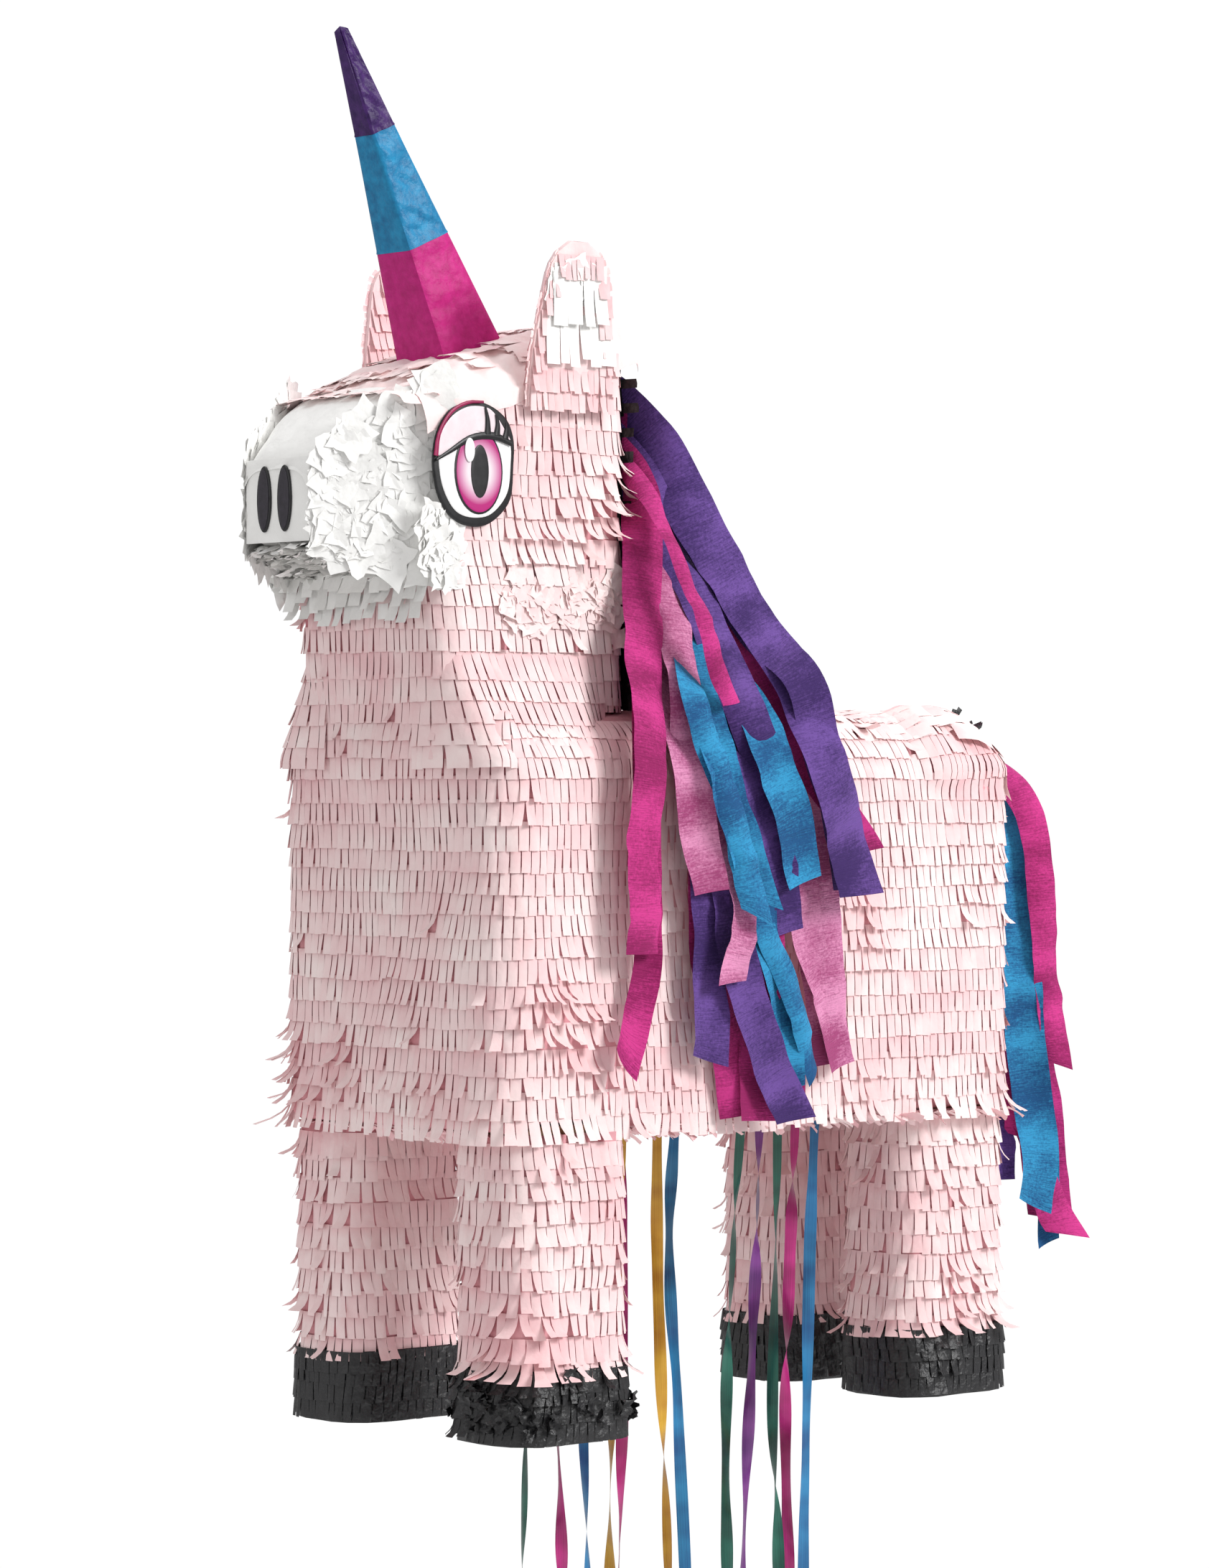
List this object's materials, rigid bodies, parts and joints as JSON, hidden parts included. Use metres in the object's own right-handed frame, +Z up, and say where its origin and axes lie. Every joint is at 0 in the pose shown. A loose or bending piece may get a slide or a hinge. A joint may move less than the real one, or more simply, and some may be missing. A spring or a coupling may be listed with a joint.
{
  "type": "unicorn pinata",
  "caption": "Hanging unicorn party pinata of card and fringed tissue, with a filling flap and a belly trapdoor that opens when a pull ribbon is tugged.",
  "frame": {"origin": "underside of the top of the wire hanging loop, where a hook bears", "axes": "+Z up, nose towards -Y, the animal's left side and its mane towards +X"},
  "size_m": [0.1568, 0.4056, 0.8691],
  "materials": {
    "card": "matt",
    "pink_tissue": "matt fringed tissue",
    "white_tissue": "matt tissue",
    "black_crepe": "crepe",
    "magenta_crepe": "crepe",
    "blue_crepe": "crepe",
    "purple_crepe": "crepe",
    "pink_crepe": "crepe",
    "eye_card": "smooth printed card",
    "nostril_card": "smooth printed card",
    "wire": "bare wire",
    "wood": "plain",
    "tape": "paper tape",
    "green_ribbon": "satin",
    "magenta_ribbon": "satin",
    "blue_ribbon": "satin",
    "gold_ribbon": "satin",
    "purple_ribbon": "satin"
  },
  "bodies": {
    "carcass": {"body_carton": "card", "neck_carton": "card", "muzzle_carton": "card", "leg_carton_front_left": "card", "leg_carton_front_right": "card", "leg_carton_rear_left": "card", "leg_carton_rear_right": "card", "horn_core": "card", "body_tissue": "pink_tissue", "neck_tissue": "pink_tissue", "leg_tissue_front_left": "pink_tissue", "leg_tissue_front_right": "pink_tissue", "leg_tissue_rear_left": "pink_tissue", "leg_tissue_rear_right": "pink_tissue", "horn_collar": "pink_tissue", "ear_left": "pink_tissue", "ear_right": "pink_tissue", "muzzle_tissue": "white_tissue", "hoof_front_left": "black_crepe", "hoof_front_right": "black_crepe", "hoof_rear_left": "black_crepe", "hoof_rear_right": "black_crepe", "mane_base": "black_crepe", "tail_root": "black_crepe", "horn_band_lower": "magenta_crepe", "mane_magenta_front": "magenta_crepe", "mane_magenta_lower": "magenta_crepe", "tail_magenta": "magenta_crepe", "horn_band_middle": "blue_crepe", "mane_blue_front": "blue_crepe", "mane_blue_rear": "blue_crepe", "tail_blue": "blue_crepe", "horn_band_tip": "purple_crepe", "mane_purple_outer": "purple_crepe", "mane_purple_inner": "purple_crepe", "mane_purple_lower": "purple_crepe", "mane_pink_front": "pink_crepe", "mane_pink_rear": "pink_crepe", "eye_left": "eye_card", "eye_right": "eye_card", "nostril_left": "nostril_card", "nostril_right": "nostril_card", "hang_loop": "wire", "loop_dowel": "wood"},
    "belly_door": {"trap_door": "card", "ribbon_tape": "tape"},
    "ribbons_near_hinge": {"ribbon_green_a": "green_ribbon", "ribbon_magenta_a": "magenta_ribbon", "ribbon_magenta_b": "magenta_ribbon"},
    "ribbons_middle": {"ribbon_blue_a": "blue_ribbon", "ribbon_gold_a": "gold_ribbon", "ribbon_yellow": "gold_ribbon", "ribbon_blue_b": "blue_ribbon"},
    "ribbons_far": {"ribbon_green_b": "green_ribbon", "ribbon_purple": "purple_ribbon", "ribbon_green_c": "green_ribbon", "ribbon_magenta_c": "magenta_ribbon", "ribbon_blue_c": "blue_ribbon"},
    "back_flap": {"fill_flap": "card"}
  },
  "joints": [
    {"name": "belly_door_hinge", "type": "hinge", "parent": "carcass", "child": "belly_door", "pos_m": [-0.036, 0.03, -0.1947], "axis": [0, 1, 0], "range_deg": [0, 80]},
    {"name": "back_flap_hinge", "type": "hinge", "parent": "carcass", "child": "back_flap", "pos_m": [0, 0.107, -0.0353], "axis": [-1, 0, 0], "range_deg": [0, 105]},
    {"name": "ribbons_near_hinge_swing", "type": "hinge", "parent": "belly_door", "child": "ribbons_near_hinge", "pos_m": [-0.018, 0.03, -0.199], "axis": [0, 1, 0], "range_deg": [-80, 0]},
    {"name": "ribbons_middle_swing", "type": "hinge", "parent": "belly_door", "child": "ribbons_middle", "pos_m": [-0.004, 0.03, -0.199], "axis": [0, 1, 0], "range_deg": [-80, 0]},
    {"name": "ribbons_far_swing", "type": "hinge", "parent": "belly_door", "child": "ribbons_far", "pos_m": [0.022, 0.03, -0.199], "axis": [0, 1, 0], "range_deg": [-80, 0]}
  ],
  "couplings": [
    {"joint": "ribbons_near_hinge_swing", "follows": "belly_door_hinge", "ratio": -1},
    {"joint": "ribbons_middle_swing", "follows": "belly_door_hinge", "ratio": -1},
    {"joint": "ribbons_far_swing", "follows": "belly_door_hinge", "ratio": -1}
  ]
}
